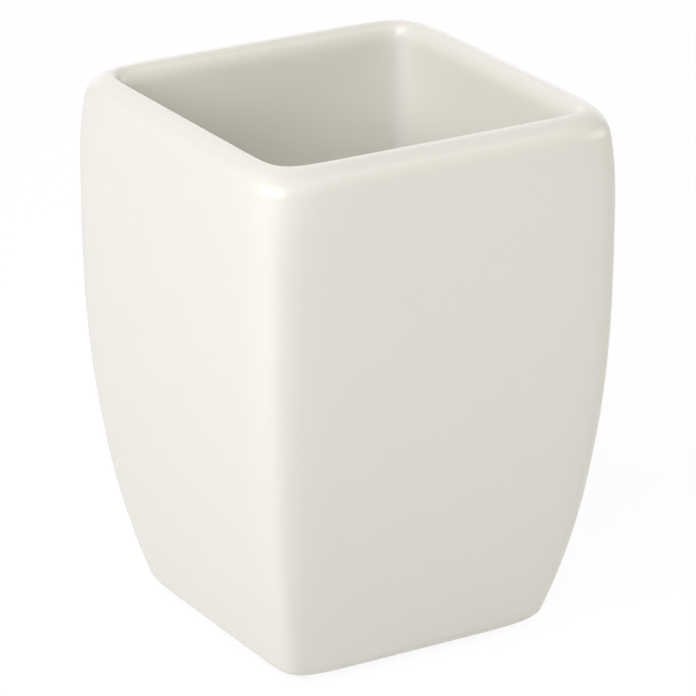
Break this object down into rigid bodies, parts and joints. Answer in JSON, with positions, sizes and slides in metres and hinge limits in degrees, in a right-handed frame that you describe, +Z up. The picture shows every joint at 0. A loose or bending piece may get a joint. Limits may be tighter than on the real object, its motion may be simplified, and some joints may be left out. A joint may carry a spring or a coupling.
{
  "type": "bathroom tumbler",
  "caption": "Square glazed ceramic bathroom tumbler with rounded lip, sides that curve in to a narrower square foot, open at the top, on non-slip pads.",
  "frame": {"origin": "on the surface that the cup stands on, under the middle of the cup", "axes": "+Z up to the rim; the cup is square in plan with its flat sides facing -X, +X, -Y and +Y; front is -Y"},
  "size_m": [0.0782, 0.0782, 0.1068],
  "materials": {
    "glaze": "smooth off-white glaze with a soft gloss, bare biscuit on the foot ring",
    "pad": "matt, slightly see-through"
  },
  "bodies": {
    "root": {"tumbler_body": "glaze", "pad_front_left": "pad", "pad_front_right": "pad", "pad_back_left": "pad", "pad_back_right": "pad"}
  },
  "joints": []
}
